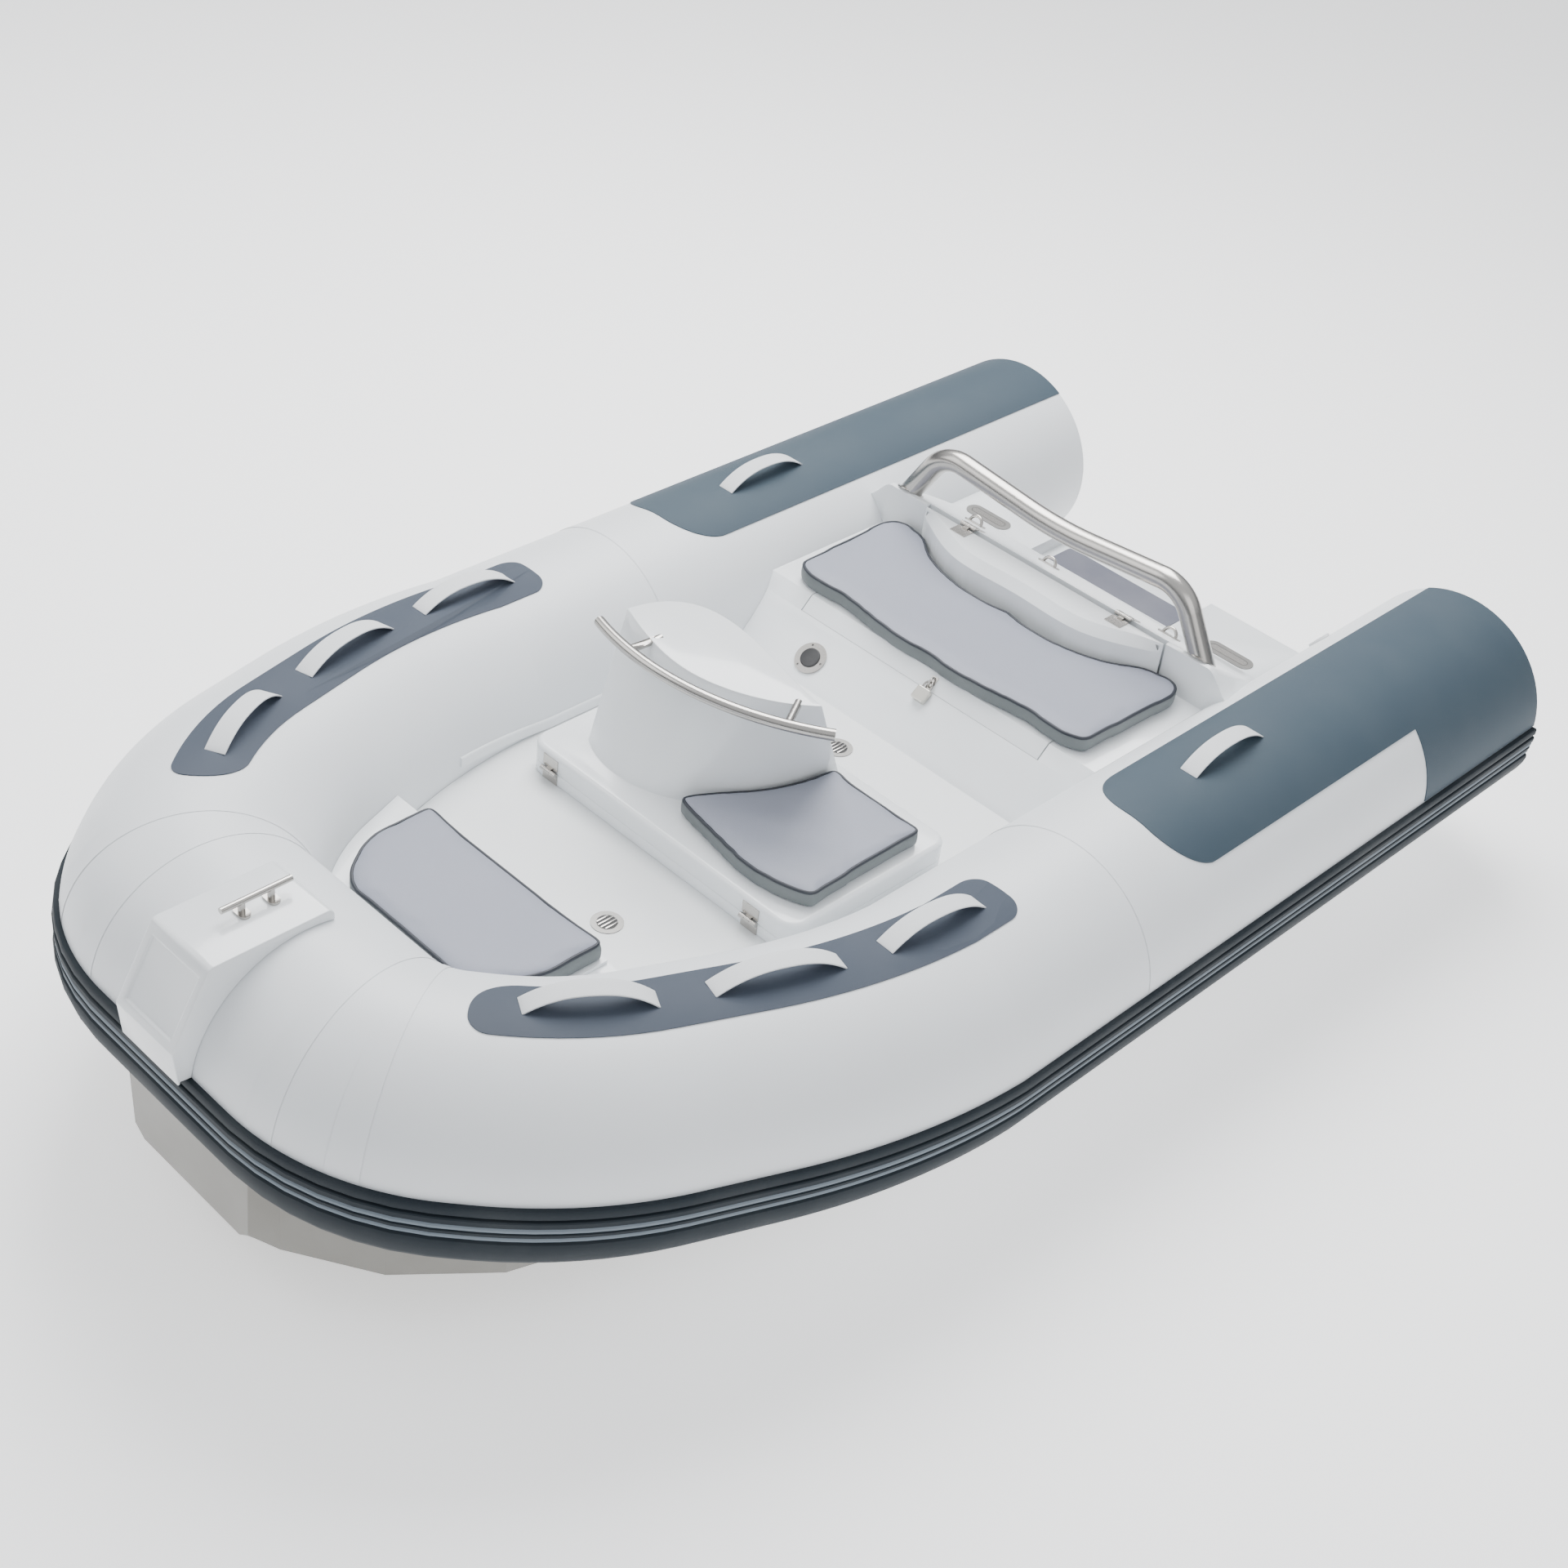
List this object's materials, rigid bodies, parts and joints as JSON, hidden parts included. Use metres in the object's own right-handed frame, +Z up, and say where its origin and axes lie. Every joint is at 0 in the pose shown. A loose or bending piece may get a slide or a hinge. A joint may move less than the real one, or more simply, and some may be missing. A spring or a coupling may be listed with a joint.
{
  "type": "inflatable dinghy",
  "caption": "Rigid-hull inflatable tender with tilting console, cushioned bow locker and stern seat, strap handles and a stainless stern rail.",
  "frame": {"origin": "on the ground under the middle of the boat's bounding box, where the keel pad stands", "axes": "+X to port, +Y aft (the bow points to -Y), +Z up"},
  "size_m": [1.708, 2.895, 0.6952],
  "materials": {
    "tube_fabric": "matt coated fabric, light white-grey",
    "patch_fabric": "matt coated fabric, slate blue-grey",
    "strake_rubber": "extruded rubber, dark slate with lighter ridges",
    "webbing": "flat coated webbing, white",
    "gelcoat": "glossy white gelcoat over laminate",
    "hull_gelcoat": "glossy beige-grey gelcoat over laminate",
    "cushion_vinyl": "soft grey coated upholstery with dark piping",
    "stainless": "polished stainless steel",
    "padlock_steel": "satin plated steel",
    "black_rubber": "matt black moulded rubber",
    "white_plastic": "moulded white plastic",
    "grey_plastic": "moulded grey plastic, fine texture"
  },
  "bodies": {
    "boat": {"collar_bow": "tube_fabric", "collar_shoulder_port": "tube_fabric", "collar_shoulder_stbd": "tube_fabric", "collar_side_port": "tube_fabric", "collar_side_stbd": "tube_fabric", "collar_aft_port": "tube_fabric", "collar_aft_stbd": "tube_fabric", "collar_cone_port": "tube_fabric", "collar_cone_stbd": "tube_fabric", "handle_pad_port": "patch_fabric", "handle_pad_stbd": "patch_fabric", "stern_patch_port": "patch_fabric", "stern_patch_stbd": "patch_fabric", "rub_strake_bow": "strake_rubber", "rub_strake_forward_port": "strake_rubber", "rub_strake_forward_stbd": "strake_rubber", "rub_strake_aft_port": "strake_rubber", "rub_strake_aft_stbd": "strake_rubber", "strap_handle_a_port": "webbing", "strap_handle_a_stbd": "webbing", "strap_handle_b_port": "webbing", "strap_handle_b_stbd": "webbing", "strap_handle_c_port": "webbing", "strap_handle_c_stbd": "webbing", "strap_handle_d_port": "webbing", "strap_handle_d_stbd": "webbing", "deck_sole": "gelcoat", "console_plinth": "gelcoat", "deck_coamings": "gelcoat", "bow_locker": "gelcoat", "bow_step_plate": "gelcoat", "stern_moulding": "gelcoat", "hull_shell": "hull_gelcoat", "hinge_bases": "stainless", "bow_cleat": "stainless", "cable_flange": "stainless", "stern_rail": "stainless", "rail_flanges": "stainless", "cleat_cups": "stainless", "lashing_eyes": "stainless", "drain_covers": "stainless", "cable_boot": "black_rubber", "inflation_valves": "white_plastic", "well_panel": "grey_plastic", "transom_pad": "grey_plastic"},
    "bow_lid": {"bow_locker_lid": "gelcoat", "bow_cushion": "cushion_vinyl", "bow_hinge_leaf": "stainless"},
    "console": {"console_module": "gelcoat", "console_hinge_leaf": "stainless", "grab_rail": "stainless", "front_seat_cushion": "cushion_vinyl"},
    "stern_lid": {"stern_seat_lid": "gelcoat", "stern_cushion": "cushion_vinyl", "stern_hinge_leaf": "stainless", "padlock_eye": "stainless"},
    "padlock": {"padlock_body": "padlock_steel", "padlock_shackle": "stainless"},
    "cleat_port": {"cleat_post_port": "stainless"},
    "cleat_stbd": {"cleat_post_stbd": "stainless"}
  },
  "joints": [
    {"name": "bow_lid_hinge", "type": "hinge", "parent": "boat", "child": "bow_lid", "pos_m": [0, -0.706, 0.4284], "axis": [-1, 0, 0], "range_deg": [0, 90]},
    {"name": "console_tilt", "type": "hinge", "parent": "boat", "child": "console", "pos_m": [0, -0.405, 0.376], "axis": [1, 0, 0], "range_deg": [0, 60]},
    {"name": "stern_lid_hinge", "type": "hinge", "parent": "boat", "child": "stern_lid", "pos_m": [0, 0.694, 0.558], "axis": [-1, 0, 0], "range_deg": [0, 75]},
    {"name": "padlock_swing", "type": "hinge", "parent": "stern_lid", "child": "padlock", "pos_m": [0.033, 0.32978, 0.44626], "axis": [1, 0, 0], "range_deg": [-35, 0]},
    {"name": "cleat_port_lift", "type": "slide", "parent": "boat", "child": "cleat_port", "axis": [0, 0, 1], "range_m": [0, 0.028]},
    {"name": "cleat_stbd_lift", "type": "slide", "parent": "boat", "child": "cleat_stbd", "axis": [0, 0, 1], "range_m": [0, 0.028]}
  ]
}
